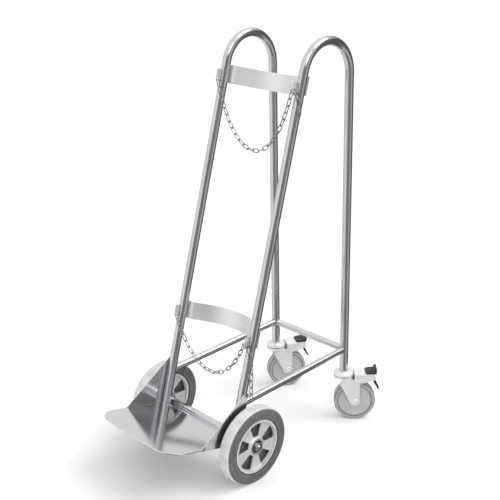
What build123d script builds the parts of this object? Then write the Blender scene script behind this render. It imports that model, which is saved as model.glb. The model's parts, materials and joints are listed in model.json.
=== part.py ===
from build123d import *
import os
from math import asinh, cos, cosh, radians, sin, sinh, tan

os.makedirs("parts", exist_ok=True)

# Gas cylinder trolley on two fixed wheels and two braked castors, welded from round
# stainless tube. +X is the trolley's right side, -Y its front (the toe plate), +Z up.
# z = 0 is the floor, and the origin lies under the middle of the wheel axle.

# ---------------------------------------------------------------- driving dimensions
tube_radius = 12.5          # side frame tube, 25 mm
tube_wall = 1.5
rail_radius = 10.0          # rails, cross tube and axle sleeve, 20 mm
side_x = 142.4              # middle of each side frame from the centre line
frame_pitch = 1.7           # the frame leans forward by this on level ground
front_rake = 16.56          # angle between a side frame's two legs
bend_radius = 93.0          # centre line of the top bend
rear_leg_y = 436.0          # rear leg behind the axle, along the rails
bend_height = 939.5         # bend centre above the axle
rail_height = 107.7         # rails above the axle
plate_at = 1002.0           # toe plate's top face, down the leg from the end of the bend
weld_gap = 0.05             # root gap left at each coped or butted joint

wheel_radius = 110.0
wheel_width = 40.0
wheel_face_x = 205.0        # outer face of each main wheel
tyre_shoulder = 9.0
rim_radius = 77.0
rim_width = 36.0
hub_radius = 25.0
spoke_count = 5
axle_radius = 7.45
bearing_radius = 17.5       # 35 x 15 x 11 ball bearing
bearing_bore = 7.5
bearing_width = 11.0

plate_thickness = 3.0
plate_half_width = 155.6
plate_rear = 22.0           # plate edge behind the leg centre line
plate_depth = 246.5         # front of the lip before the leg centre line
lip_crown = 7.0
lip_corner = 60.0
gusset_depth = 135.0
gusset_height = 142.0
gusset_thickness = 2.5
lug_radius = 16.0

saddle_height = 50.0
saddle_thickness = 3.0
saddle_half_width = 152.0
saddle_arc_radius = 125.0   # cradle of the cylinder
saddle_arc_angle = 50.0     # half angle of the cradle
saddle_depth = 74.0         # cradle bottom behind the flat ends
saddle_bend_radius = 18.0
saddle_stations = {"upper": 10.0, "lower": 686.0}   # top edges, down the leg from the bend

hook_thickness = 2.5
hook_hole_reach = 23.0      # hook hole before the leg centre line
hook_hole_radius = 3.8
hook_nose = 5.9             # nose radius round the hole
hook_height = 34.0
hook_slot_width = 3.4
hook_stations = {"upper": 54.0, "lower": 727.0}     # hook eyes, down the leg from the bend

chain_wire = 2.8
chain_pitch = 19.8
link_length = 20.0          # inside a link
link_width = 7.0
chain_links = {"upper": 24, "lower": 20}
tail_links = {"upper": 3, "lower": 8}
tail_x = 161.8              # the spare chain hangs just outside the right leg

castor_height = 158.4
castor_trail = 35.5
castor_radius = 62.5
castor_core_radius = 53.0
castor_width = 32.0
castor_headings = {"left": 30.0, "right": 46.0}     # trail direction, from +Y towards +X
castor_bolt_radius = 6.0
fork_gap = 40.0             # between the fork's two legs
fork_sheet = 2.5
crown_z = 138.0             # top of the fork's crown
brake_pin_u = 40.0          # brake pivot behind the swivel axis, and above the floor
brake_pin_z = 131.5

# ---------------------------------------------------------------- working planes
frame_base = Plane(
    origin=(0, 0, wheel_radius),
    x_dir=(1, 0, 0),
    z_dir=(0, -sin(radians(frame_pitch)), cos(radians(frame_pitch))),
)
# Seen from the right: local x runs back along the rails, local y runs up the rear leg.
frame_side = Plane(frame_base.origin, x_dir=frame_base.y_dir, z_dir=(1, 0, 0))

with BuildLine(frame_side) as tube_path:
    rear_leg = Line((rear_leg_y, 0), (rear_leg_y, bend_height))
    top_bend = JernArc(rear_leg @ 1, rear_leg % 1, bend_radius, 180 - front_rake)
    leg_length = plate_at + plate_thickness
    front_leg = Line(top_bend @ 1, top_bend @ 1 + (top_bend % 1) * leg_length)

leg_down = top_bend % 1
leg_front = leg_down.cross(Vector(1, 0, 0))


def on_leg(x, down, front):
    """Point by a front leg: down the leg from the bend, and out in front of its axis."""
    return top_bend @ 1 + leg_down * down + leg_front * front + Vector(x, 0, 0)


def leg_section(down):
    """Plane square to the front legs: local x across, local y to the front, z down."""
    return Plane(on_leg(0, down, 0), x_dir=(1, 0, 0), z_dir=leg_down)


def leg_side(x, down):
    """Plane along a front leg: local x to the front, local y up the leg, normal -X."""
    return Plane(on_leg(x, down, 0), x_dir=leg_front, z_dir=(-1, 0, 0))


def finish(piece, name):
    piece.part.label = name
    export_step(piece.part, f"parts/{name}.step")


def tube_ring(radius):
    Circle(radius)
    Circle(radius - tube_wall, mode=Mode.SUBTRACT)


# ---------------------------------------------------------------- side frames
# Each side is one tube: castor leg, top bend that serves as a handle, raked front leg.
def make_side_frame(name, x):
    path = tube_path.line.moved(Location((x, 0, 0)))
    with BuildPart() as side:
        with BuildSketch(Plane(path @ 0, z_dir=path % 0)):
            tube_ring(tube_radius)
        sweep(path=path)
        with BuildSketch(Plane.XY.offset(castor_height)):
            with Locations((x, (path @ 0).Y)):
                Circle(2 * tube_radius)
        extrude(amount=-castor_height, mode=Mode.SUBTRACT)
    finish(side, name)


make_side_frame("left_side_frame", -side_x)
make_side_frame("right_side_frame", side_x)


# ---------------------------------------------------------------- rails and cross tube
def cope(point, direction):
    """Saddle cut that lets a tube's end sit against a leg."""
    with BuildSketch(Plane(point, z_dir=direction)) as leg_outline:
        Circle(tube_radius + weld_gap)
    extrude(leg_outline.sketch, amount=plate_at, both=True, mode=Mode.SUBTRACT)


leg_above_rail = bend_height + bend_radius * sin(radians(front_rake)) - rail_height
rail_length = bend_radius * (1 + cos(radians(front_rake)))
rail_length += leg_above_rail * tan(radians(front_rake))


def make_side_rail(name, x):
    rear = frame_base.from_local_coords((x, rear_leg_y, rail_height))
    with BuildPart() as rail:
        with BuildSketch(Plane(rear, z_dir=-frame_base.y_dir)):
            tube_ring(rail_radius)
        extrude(amount=rail_length)
        cope(rear, frame_base.z_dir)
        cope(on_leg(x, 0, 0), leg_down)
    finish(rail, name)


make_side_rail("left_side_rail", -side_x)
make_side_rail("right_side_rail", side_x)

cross_middle = frame_base.from_local_coords((0, rear_leg_y, rail_height))
with BuildPart() as rear_cross_tube:
    with BuildSketch(Plane(cross_middle, z_dir=(1, 0, 0))):
        tube_ring(rail_radius)
    extrude(amount=side_x, both=True)
    for x in (-side_x, side_x):
        cope(cross_middle + Vector(x, 0, 0), frame_base.z_dir)
        with BuildSketch(Plane(cross_middle + Vector(x, 0, 0), z_dir=-frame_base.y_dir)):
            Circle(rail_radius + weld_gap)
        extrude(amount=rail_length, mode=Mode.SUBTRACT)
finish(rear_cross_tube, "rear_cross_tube")

# ---------------------------------------------------------------- axle
axle_middle = Vector(0, 0, wheel_radius)
axle_plane = Plane(axle_middle, z_dir=(1, 0, 0))
lug_face_x = plate_half_width + gusset_thickness
hub_outer_x = wheel_face_x - 3.0
hub_inner_x = 2 * wheel_face_x - wheel_width - hub_outer_x
hub_play = 0.3              # end play of each wheel on its axle
washer_thickness = 1.5
nut_thickness = 7.0

with BuildPart() as axle_tube:
    with BuildSketch(axle_plane):
        Circle(rail_radius)
        Circle(axle_radius + 0.3, mode=Mode.SUBTRACT)
    extrude(amount=plate_half_width - weld_gap, both=True)
finish(axle_tube, "axle_tube")

with BuildPart() as wheel_axle:
    with BuildSketch(axle_plane):
        Circle(axle_radius)
    extrude(amount=hub_outer_x + washer_thickness + nut_thickness + 3, both=True)
    chamfer(wheel_axle.edges().filter_by(GeomType.CIRCLE), 1.5)
finish(wheel_axle, "wheel_axle")


def make_axle_pair(name, near_x, length, outline):
    """The same bored disc on both ends of the axle, as two separate solids."""
    with BuildPart() as pair:
        for sign in (-1, 1):
            with BuildSketch(axle_plane.offset(sign * near_x)):
                add(outline)
                Circle(axle_radius + weld_gap, mode=Mode.SUBTRACT)
            extrude(amount=sign * length)
    finish(pair, name)


washer_x = hub_outer_x + hub_play
nut_x = washer_x + washer_thickness + weld_gap
spacer_x = lug_face_x + weld_gap
make_axle_pair("axle_spacers", spacer_x, hub_inner_x - hub_play - spacer_x, Circle(10.5))
make_axle_pair("axle_washers", washer_x, washer_thickness, Circle(13.0))
make_axle_pair("axle_nuts", nut_x, nut_thickness, RegularPolygon(11.0, 6, major_radius=False))

# ---------------------------------------------------------------- toe plate and gussets
with BuildPart() as toe_plate:
    with BuildSketch(leg_section(plate_at)) as plate_outline:
        with BuildLine():
            lip_left = (-plate_half_width, plate_depth - lip_crown)
            lip_right = (plate_half_width, plate_depth - lip_crown)
            ThreePointArc(lip_left, (0, plate_depth), lip_right)
            rear_left = (-plate_half_width, -plate_rear)
            rear_right = (plate_half_width, -plate_rear)
            Polyline(lip_right, rear_right, rear_left, lip_left)
        make_face()
        fillet(plate_outline.vertices().group_by(Axis.Y)[-1], lip_corner)
        with Locations((-side_x, 0), (side_x, 0)):
            Circle(tube_radius + weld_gap, mode=Mode.SUBTRACT)
    extrude(amount=plate_thickness)
finish(toe_plate, "toe_plate")

foot_to_axle = axle_middle - on_leg(0, plate_at, 0)
lug_front = foot_to_axle.dot(leg_front)
lug_up = foot_to_axle.dot(leg_down * -1)


def make_gusset(name, sign):
    with BuildPart() as gusset:
        with BuildSketch(leg_side(sign * (plate_half_width + weld_gap), plate_at)):
            Polygon(
                (gusset_depth, -plate_thickness),
                (gusset_depth, 0),
                (4, gusset_height),
                (-8, gusset_height),
                (-8, -plate_thickness),
                align=None,
            )
            Polygon(
                (20, -plate_thickness),
                (-8, 44),
                (lug_front - 8, lug_up + 13.5),
                (lug_front - 4, lug_up - 15),
                align=None,
            )
            with Locations((lug_front, lug_up)):
                Circle(lug_radius)
                Circle(axle_radius + weld_gap, mode=Mode.SUBTRACT)
        extrude(amount=-sign * gusset_thickness)
    finish(gusset, name)


make_gusset("left_gusset", -1)
make_gusset("right_gusset", 1)


# ---------------------------------------------------------------- saddles
# Flat strap rolled to the cylinder, its ends set flat and welded behind the front legs.
def make_saddle(name, down):
    end_y = -tube_radius - weld_gap
    apex = saddle_depth + saddle_arc_radius * (1 / cos(radians(saddle_arc_angle)) - 1)
    flank_x = apex / tan(radians(saddle_arc_angle))
    with BuildPart() as saddle:
        with BuildSketch(leg_section(down)):
            with BuildLine():
                FilletPolyline(
                    (-saddle_half_width, end_y),
                    (-flank_x, end_y),
                    (0, end_y - apex),
                    (flank_x, end_y),
                    (saddle_half_width, end_y),
                    radius=[saddle_bend_radius, saddle_arc_radius, saddle_bend_radius],
                )
                offset(amount=saddle_thickness, side=Side.RIGHT)
            make_face()
        extrude(amount=saddle_height)
    finish(saddle, name)


for level, down in saddle_stations.items():
    make_saddle(f"{level}_saddle", down)


# ---------------------------------------------------------------- chain hooks
# Left hooks have a plain eye for the chain's fixed end, right hooks an open slot that
# one link drops into.
link_half_width = link_width / 2 + chain_wire
slot_bottom = -link_half_width - 0.3
hook_back = tube_radius + weld_gap
hook_front = hook_hole_reach + hook_nose


def make_hook(name, x, down, slotted):
    low = slot_bottom - 4 if slotted else -hook_nose
    with BuildPart() as hook:
        with BuildSketch(leg_side(x, down)) as outline:
            with Locations((hook_back, low)):
                Rectangle(hook_front - hook_back, hook_height, align=Align.MIN)
            fillet(outline.vertices().sort_by(Axis.Y)[:2].sort_by(Axis.X)[-1], hook_nose - 0.1)
            fillet(outline.vertices().sort_by(Axis.Y)[-2:].sort_by(Axis.X)[-1], 3.0)
            if slotted:
                with Locations((hook_hole_reach, slot_bottom)):
                    Rectangle(
                        hook_slot_width,
                        hook_height,
                        align=(Align.CENTER, Align.MIN),
                        mode=Mode.SUBTRACT,
                    )
            else:
                with Locations((hook_hole_reach, 0)):
                    Circle(hook_hole_radius, mode=Mode.SUBTRACT)
        extrude(amount=hook_thickness / 2, both=True)
    finish(hook, name)


for level, down in hook_stations.items():
    make_hook(f"{level}_left_hook", -side_x, down, False)
    make_hook(f"{level}_right_hook", side_x, down, True)

# ---------------------------------------------------------------- chains
# Welded links on a catenary. The left end swings in its hook's eye. On the right one
# link sits across the open hook, and the spare links hang from that link's outer end.
half_straight = (link_length - link_width) / 2
side_y = (link_width + chain_wire) / 2
joint_reach = side_y + half_straight - chain_pitch / 2   # from a joint to the end wire
joint_drop = 2.3            # end joints below the eye's middle and the hooked link's

with BuildPart() as chain_link:
    with BuildLine() as link_path:
        near_side = Line((-half_straight, -side_y), (half_straight, -side_y))
        right_end = JernArc(near_side @ 1, near_side % 1, side_y, 180)
        far_side = Line(right_end @ 1, (-half_straight, side_y))
        JernArc(far_side @ 1, far_side % 1, side_y, 180)
    with BuildSketch(Plane(near_side @ 0, z_dir=near_side % 0)):
        Circle(chain_wire / 2)
    sweep(path=link_path.wire())


def catenary(start, end, links):
    """Joints of a hanging chain between two points at one height."""
    span = (end - start).length
    length = links * chain_pitch
    low = 0.1
    high = 6.0
    for _ in range(60):
        steepness = (low + high) / 2
        if sinh(steepness) / steepness * span < length:
            low = steepness
        else:
            high = steepness
    scale = span / 2 / steepness
    joints = []
    for i in range(links + 1):
        arc_length = (i / links - 0.5) * length
        run = scale * asinh(arc_length / scale)
        sag = scale * (cosh(steepness) - cosh(run / scale))
        joints.append((start + end) * 0.5 + Vector(run, 0, -sag))
    return joints


def make_chain(name, joints, first_flat):
    """Links from joint to joint, each turned a quarter from the one before."""
    with BuildPart() as chain:
        for i in range(len(joints) - 1):
            along = (joints[i + 1] - joints[i]).normalized()
            flat = (i % 2 == 0) == first_flat
            normal = Vector(0, 1, 0) if flat else along.cross(Vector(0, 1, 0))
            middle = (joints[i] + joints[i + 1]) * 0.5
            add(chain_link.part.moved(Plane(middle, x_dir=along, z_dir=normal).location))
    finish(chain, name)


for level, down in hook_stations.items():
    eye = on_leg(-side_x, down, hook_hole_reach)
    hooked_middle = on_leg(side_x, down, hook_hole_reach)
    with BuildPart() as hooked_link:
        hooked_plane = Plane(hooked_middle, x_dir=(1, 0, 0), z_dir=leg_front)
        add(chain_link.part.moved(hooked_plane.location))
    finish(hooked_link, f"{level}_hooked_link")

    chain_start = eye + Vector(0.5, 0, -joint_drop)
    chain_end = hooked_middle - Vector(half_straight + 1.1, 0, joint_drop)
    make_chain(f"{level}_chain", catenary(chain_start, chain_end, chain_links[level]), True)

    # The first two spare links step out past the leg, and the rest hang plumb.
    tail_start = hooked_middle + Vector(half_straight, 0, 0)
    step_out = (tail_x - tail_start.X) / 2
    step_down = (chain_pitch**2 - step_out**2) ** 0.5
    tail_joints = [tail_start + Vector(step_out, 0, -step_down) * (joint_drop / chain_pitch)]
    for i in range(tail_links[level]):
        step = Vector(step_out, 0, -step_down) if i < 2 else Vector(0, 0, -chain_pitch)
        tail_joints.append(tail_joints[-1] + step)
    make_chain(f"{level}_chain_tail", tail_joints, False)

# ---------------------------------------------------------------- main wheels
# Cast rim with a hub for two ball bearings and five wedge spokes, solid rubber tyre.
wheel_middle_x = wheel_face_x - wheel_width / 2
wheel_axis = Axis(axle_middle, (1, 0, 0))
wheel_section = Plane(axle_middle, x_dir=(1, 0, 0), z_dir=(0, -1, 0))
rim_lip = 7.0
web_thickness = 24.0
pocket_floor = 4.0
hub_width = 2 * (hub_outer_x - wheel_middle_x)
bearing_middle_bore = 13.0
pocket_inner = hub_radius + 3
pocket_outer = rim_radius - rim_lip - 2
pocket_angle = 19.0         # half angle of each pocket between two spokes


def at_angle(radius, angle):
    return (radius * cos(radians(angle)), radius * sin(radians(angle)))


with BuildSketch() as pocket_outline:
    with BuildLine():
        near_low = at_angle(pocket_inner, -0.9 * pocket_angle)
        near_high = at_angle(pocket_inner, 0.9 * pocket_angle)
        far_low = at_angle(pocket_outer, -pocket_angle)
        far_high = at_angle(pocket_outer, pocket_angle)
        Line(near_low, far_low)
        ThreePointArc(far_low, (pocket_outer, 0), far_high)
        Line(far_high, near_high)
        ThreePointArc(near_high, (pocket_inner, 0), near_low)
    make_face()
    fillet(pocket_outline.vertices(), 2.5)


def make_wheel(side, sign):
    middle = sign * wheel_middle_x
    with BuildPart() as tyre:
        with BuildSketch(wheel_section) as tread:
            with Locations((middle, (rim_radius + weld_gap + wheel_radius) / 2)):
                Rectangle(wheel_width, wheel_radius - rim_radius - weld_gap)
            fillet(tread.vertices().group_by(Axis.Y)[-1], tyre_shoulder)
            fillet(tread.vertices().group_by(Axis.Y)[0], 3.0)
        revolve(axis=wheel_axis)
    finish(tyre, f"{side}_wheel_tyre")

    with BuildPart() as rim:
        with BuildSketch(wheel_section):
            with Locations((middle, rim_radius)):
                Rectangle(rim_width, rim_lip, align=(Align.CENTER, Align.MAX))
            with Locations((middle, 0)):
                Rectangle(web_thickness, rim_radius - 1, align=(Align.CENTER, Align.MIN))
                Rectangle(hub_width, hub_radius, align=(Align.CENTER, Align.MIN))
                Rectangle(
                    hub_width,
                    bearing_middle_bore,
                    align=(Align.CENTER, Align.MIN),
                    mode=Mode.SUBTRACT,
                )
            for end in (-1, 1):
                with Locations((middle + end * (hub_width - bearing_width) / 2, 0)):
                    Rectangle(
                        bearing_width,
                        bearing_radius + weld_gap,
                        align=(Align.CENTER, Align.MIN),
                        mode=Mode.SUBTRACT,
                    )
        revolve(axis=wheel_axis)
        pocket_depth = (web_thickness - pocket_floor) / 2
        for face in (-1, 1):
            pocket_middle = (middle + face * pocket_floor / 2, 0, wheel_radius)
            with BuildSketch(Plane(pocket_middle, z_dir=(face, 0, 0))):
                for i in range(spoke_count):
                    add(pocket_outline.sketch.rotate(Axis.Z, 360 / spoke_count * i))
            extrude(amount=pocket_depth + 1, mode=Mode.SUBTRACT)
    finish(rim, f"{side}_wheel_rim")

    with BuildPart() as bearings:
        for end in (-1, 1):
            face_x = middle + end * (hub_width / 2 - bearing_width)
            with BuildSketch(Plane((face_x, 0, wheel_radius), z_dir=(end, 0, 0))):
                Circle(bearing_radius)
                Circle(bearing_bore, mode=Mode.SUBTRACT)
            extrude(amount=bearing_width)
    finish(bearings, f"{side}_wheel_bearings")


make_wheel("left", -1)
make_wheel("right", 1)

# ---------------------------------------------------------------- castors
# Swivel castors with a total-lock brake: a dished head on the leg's end, a ball race, a
# pressed fork, a plastic wheel with a soft tread, and a sheet pedal over the wheel.
race_radius = 21.0
ball_radius = 3.0
ball_z = 144.3
ball_count = 18
head_profile = [(6.2, 158.3), (17, 158.3), (29.5, 154), (30.5, 147.5), (27.5, 147.5), (26.5, 151.5)]
head_profile += [(17, 155.2), (6.2, 155.2)]
crown_profile = [(9.0, 135.2), (28.5, 135.2), (30.5, 145), (28, 145), (26, 141), (16, 141), (14, 145.5)]
crown_profile += [(9.0, 145.5)]
axle_bolt_radius = 5.0
sleeve_radius = 8.0
running_clearance = 0.05
plug_length = 32.0


def make_castor(side, x):
    heading = radians(castor_headings[side])
    trail = Vector(sin(heading), cos(heading), 0)
    foot = frame_base.from_local_coords((x, rear_leg_y, castor_height - wheel_radius))
    leg_slope = tan(radians(frame_pitch))
    swivel_y = foot.Y + (foot.Z - castor_height) * leg_slope
    floor_point = Vector(x, swivel_y, 0)
    # Seen along the wheel's axle: local x is behind the swivel axis, local y above the floor.
    across = trail.cross(Vector(0, 0, 1))
    castor_side = Plane(floor_point, x_dir=trail, z_dir=across)
    swivel_axis = Axis(floor_point, (0, 0, 1))
    wheel_middle = floor_point + trail * castor_trail + Vector(0, 0, castor_radius)
    axle_axis = Axis(wheel_middle, across)

    with BuildPart() as plug:
        leg_end = floor_point + Vector(0, 0, castor_height)
        with BuildSketch(Plane(leg_end - frame_base.z_dir * 2, z_dir=frame_base.z_dir)):
            Circle(tube_radius - tube_wall - weld_gap)
        extrude(amount=plug_length)
        with BuildSketch(Plane.XY.offset(castor_height)):
            with Locations((x, swivel_y)):
                Circle(2 * tube_radius)
        extrude(amount=-10, mode=Mode.SUBTRACT)
        with BuildSketch(Plane(floor_point)):
            Circle(castor_bolt_radius + weld_gap)
        extrude(amount=castor_height + 2 * plug_length, mode=Mode.SUBTRACT)
    finish(plug, f"{side}_castor_plug")

    with BuildPart() as bolt:
        with BuildSketch(Plane(floor_point + Vector(0, 0, 127.5))):
            RegularPolygon(9.5, 6, major_radius=False)
        extrude(amount=7.4)
        with BuildSketch(Plane(floor_point + Vector(0, 0, 134.9))):
            Circle(castor_bolt_radius)
        extrude(amount=castor_height + plug_length - 6 - 134.9)
    finish(bolt, f"{side}_castor_bolt")

    with BuildPart() as head:
        with BuildSketch(castor_side):
            Polygon(*head_profile, align=None)
        revolve(axis=swivel_axis)
    finish(head, f"{side}_castor_head")

    with BuildPart() as balls:
        with Locations(Plane(floor_point + Vector(0, 0, ball_z))):
            with PolarLocations(race_radius, ball_count):
                Sphere(ball_radius)
    finish(balls, f"{side}_castor_balls")

    fork_face = fork_gap / 2 + fork_sheet
    with BuildPart() as fork:
        with BuildSketch(castor_side):
            Polygon(*crown_profile, align=None)
        revolve(axis=swivel_axis)
        with BuildSketch(castor_side, mode=Mode.PRIVATE) as leg_shape:
            with BuildLine():
                boss = 14.0
                Polyline(
                    (-12, crown_z),
                    (-12, 122),
                    (castor_trail - 28, 86),
                    (castor_trail - 10, castor_radius - boss),
                    (castor_trail + boss, castor_radius - boss),
                    (castor_trail + boss, crown_z),
                    close=True,
                )
            make_face()
            bottom = leg_shape.vertices().group_by(Axis.Y)[0]
            fillet(bottom.sort_by(Axis.X)[-1], boss - 1)
            fillet(leg_shape.vertices().group_by(Axis.Y)[0].sort_by(Axis.X)[0], 9)
            with Locations((castor_trail, castor_radius)):
                Circle(axle_bolt_radius + weld_gap, mode=Mode.SUBTRACT)
            with Locations((brake_pin_u, brake_pin_z)):
                Circle(3.0 + weld_gap, mode=Mode.SUBTRACT)
        for sign in (-1, 1):
            leg_face = leg_shape.sketch.moved(Location(across * (sign * fork_gap / 2)))
            extrude(leg_face, amount=sign * fork_sheet)
        with BuildSketch(castor_side.offset(-fork_face)):
            with Locations((-12, crown_z)):
                Rectangle(36, 2.8, align=(Align.MIN, Align.MAX))
        extrude(amount=2 * fork_face)
        with BuildSketch(Plane(floor_point)):
            Circle(9.0)
        extrude(amount=castor_height, mode=Mode.SUBTRACT)
    finish(fork, f"{side}_castor_fork")

    with BuildPart() as sleeve:
        with BuildSketch(castor_side.offset(-(fork_gap / 2 - weld_gap))):
            with Locations((castor_trail, castor_radius)):
                Circle(sleeve_radius)
                Circle(axle_bolt_radius + weld_gap, mode=Mode.SUBTRACT)
        extrude(amount=fork_gap - 2 * weld_gap)
    finish(sleeve, f"{side}_castor_sleeve")

    bolt_seat = fork_face + weld_gap
    with BuildPart() as axle_bolt:
        with BuildSketch(castor_side.offset(-bolt_seat - 6)):
            with Locations((castor_trail, castor_radius)):
                Circle(axle_bolt_radius)
        extrude(amount=2 * bolt_seat + 6)
        with BuildSketch(castor_side.offset(bolt_seat)):
            with Locations((castor_trail, castor_radius)):
                Circle(9.0)
        extrude(amount=4.5)
        chamfer(axle_bolt.faces().sort_by(Axis(floor_point, across))[-1].edges(), 1.2)
    finish(axle_bolt, f"{side}_castor_axle_bolt")

    with BuildPart() as axle_nut:
        with BuildSketch(castor_side.offset(-bolt_seat)):
            with Locations((castor_trail, castor_radius)):
                RegularPolygon(8.5, 6, major_radius=False)
                Circle(axle_bolt_radius + weld_gap, mode=Mode.SUBTRACT)
        extrude(amount=-5.5)
    finish(axle_nut, f"{side}_castor_axle_nut")

    half = castor_width / 2
    with BuildPart() as core:
        with BuildSketch(Plane(wheel_middle, x_dir=across, z_dir=trail)):
            with BuildLine():
                bore = sleeve_radius + running_clearance
                Polyline(
                    (-half - 2, bore),
                    (half + 2, bore),
                    (half + 2, 15),
                    (half - 4, 19),
                    (half - 4, 44),
                    (half - 1, 48),
                    (half - 1, castor_core_radius),
                    (1 - half, castor_core_radius),
                    (1 - half, 48),
                    (4 - half, 44),
                    (4 - half, 19),
                    (-half - 2, 15),
                    close=True,
                )
            make_face()
        revolve(axis=axle_axis)
    finish(core, f"{side}_castor_core")

    with BuildPart() as tread:
        with BuildSketch(Plane(wheel_middle, x_dir=across, z_dir=trail)) as band:
            inner = castor_core_radius + weld_gap
            with Locations((0, (inner + castor_radius) / 2)):
                Rectangle(castor_width, castor_radius - inner)
            fillet(band.vertices().group_by(Axis.Y)[-1], 4.5)
            fillet(band.vertices().group_by(Axis.Y)[0], 1.0)
        revolve(axis=axle_axis)
    finish(tread, f"{side}_castor_tread")

    # The brake's sheet channel turns on its pin and straddles fork and wheel.
    channel_face = fork_face + 0.5
    with BuildPart() as pin:
        with BuildSketch(castor_side.offset(-channel_face - 4)):
            with Locations((brake_pin_u, brake_pin_z)):
                Circle(3.0)
        extrude(amount=2 * channel_face + 8)
    finish(pin, f"{side}_brake_pin")

    with BuildPart() as channel:
        with BuildSketch(castor_side.offset(channel_face)) as flange:
            with BuildLine():
                Polyline(
                    (31.3, 155),
                    (93, 155),
                    (96, 151),
                    (96, 140),
                    (72, 130),
                    (52, 126),
                    (37, 124),
                    (31.3, 130),
                    close=True,
                )
            make_face()
            with Locations((brake_pin_u, brake_pin_z)):
                Circle(3.0 + running_clearance, mode=Mode.SUBTRACT)
        extrude(amount=2.0)
        extrude(flange.sketch.moved(Location(across * (-2 * channel_face))), amount=-2.0)
        with BuildSketch(castor_side.offset(-channel_face)):
            with Locations((31.3, 155)):
                Rectangle(61.7, 2.0, align=(Align.MIN, Align.MAX))
        extrude(amount=2 * channel_face)
        with BuildSketch(castor_side.offset(-12)):
            with Locations((63, 153.5)):
                Rectangle(12, 25, align=(Align.MIN, Align.MAX))
        extrude(amount=24)
    finish(channel, f"{side}_brake_channel")

    with BuildPart() as pedal:
        with BuildSketch(castor_side.offset(-20)) as tab:
            Polygon(
                (64, 155 + weld_gap),
                (98, 155 + weld_gap),
                (99, 170),
                (94, 171),
                (89, 162),
                (70, 160),
                align=None,
            )
            fillet(tab.vertices().group_by(Axis.Y)[-1], 1.2)
        extrude(amount=40)
    finish(pedal, f"{side}_brake_pedal")

    with BuildPart() as release:
        with BuildSketch(castor_side.offset(-9)):
            Polygon((78, 152.9), (90, 152.9), (96.5, 128), (110, 100), (106, 98), (91, 124), align=None)
        extrude(amount=18)
    finish(release, f"{side}_brake_release")


make_castor("left", -side_x)
make_castor("right", side_x)
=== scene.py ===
import json
import math

import bmesh
import bpy
import numpy as np
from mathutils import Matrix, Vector


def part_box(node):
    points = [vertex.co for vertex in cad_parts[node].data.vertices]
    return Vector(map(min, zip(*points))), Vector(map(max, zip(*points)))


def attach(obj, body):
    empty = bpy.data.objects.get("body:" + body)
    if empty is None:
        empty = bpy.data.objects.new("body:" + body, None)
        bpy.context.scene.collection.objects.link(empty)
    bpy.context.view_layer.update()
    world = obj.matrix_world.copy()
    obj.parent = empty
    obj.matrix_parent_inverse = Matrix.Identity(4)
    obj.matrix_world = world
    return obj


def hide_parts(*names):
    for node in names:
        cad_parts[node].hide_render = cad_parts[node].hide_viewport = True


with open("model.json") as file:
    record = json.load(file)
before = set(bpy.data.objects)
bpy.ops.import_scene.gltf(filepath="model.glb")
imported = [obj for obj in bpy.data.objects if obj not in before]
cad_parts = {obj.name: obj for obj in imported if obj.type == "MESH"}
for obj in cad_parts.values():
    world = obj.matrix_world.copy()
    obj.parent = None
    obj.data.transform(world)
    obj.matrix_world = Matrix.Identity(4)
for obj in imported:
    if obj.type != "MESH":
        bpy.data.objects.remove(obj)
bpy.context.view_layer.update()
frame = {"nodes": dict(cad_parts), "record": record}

body_of = {node: body for body, nodes in frame["record"]["behaviour"]["bodies"].items() for node in nodes}
joint_at = {joint["name"]: Vector(joint["pos_m"]) for joint in frame["record"]["behaviour"]["joints"]}

# ---------------------------------------------------------------- side frames, rails and cross tube
# Round stainless tube, bent cold over a former for the handles, then ground satin on a belt.
# The belt leaves very fine marks in the surface, and the cut ends are deburred.


def shade_group(name, outputs, inputs):
    """A shader node group with its sockets made, ready to be filled."""
    group = bpy.data.node_groups.new(name, "ShaderNodeTree")
    for label, kind, value in inputs:
        socket = group.interface.new_socket(label, in_out="INPUT", socket_type=kind)
        socket.default_value = value
    for label, kind in outputs:
        group.interface.new_socket(label, in_out="OUTPUT", socket_type=kind)
    return group, group.nodes.new("NodeGroupInput"), group.nodes.new("NodeGroupOutput")


def make_ground_marks():
    """Long fine marks of a grinding belt, with slow patches of handling haze over them."""
    group, given, out = shade_group(
        "Ground marks",
        [("Mark", "NodeSocketFloat"), ("Haze", "NodeSocketFloat")],
        [
            ("Stretch", "NodeSocketVector", (1.0, 1.0, 1.0)),
            ("Mark size", "NodeSocketFloat", 900.0),
            ("Haze size", "NodeSocketFloat", 9.0),
        ],
    )
    place = group.nodes.new("ShaderNodeTexCoord")
    stretch = group.nodes.new("ShaderNodeVectorMath")
    stretch.operation = "MULTIPLY"
    marks = group.nodes.new("ShaderNodeTexNoise")
    marks.inputs["Detail"].default_value = 4.0
    marks.inputs["Roughness"].default_value = 0.65
    haze = group.nodes.new("ShaderNodeTexNoise")
    haze.inputs["Detail"].default_value = 5.0
    haze.inputs["Roughness"].default_value = 0.55
    link = group.links.new
    link(place.outputs["Object"], stretch.inputs[0])
    link(given.outputs["Stretch"], stretch.inputs[1])
    link(stretch.outputs[0], marks.inputs["Vector"])
    link(given.outputs["Mark size"], marks.inputs["Scale"])
    link(place.outputs["Object"], haze.inputs["Vector"])
    link(given.outputs["Haze size"], haze.inputs["Scale"])
    link(marks.outputs["Fac"], out.inputs["Mark"])
    link(haze.outputs["Fac"], out.inputs["Haze"])
    return group


ground_marks = make_ground_marks()


def ranged(tree, source, low, high):
    """A 0 to 1 value spread over another range."""
    node = tree.nodes.new("ShaderNodeMapRange")
    node.inputs["From Min"].default_value = 0.3
    node.inputs["From Max"].default_value = 0.7
    node.inputs["To Min"].default_value = low
    node.inputs["To Max"].default_value = high
    tree.links.new(source, node.inputs["Value"])
    return node.outputs["Result"]


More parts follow.
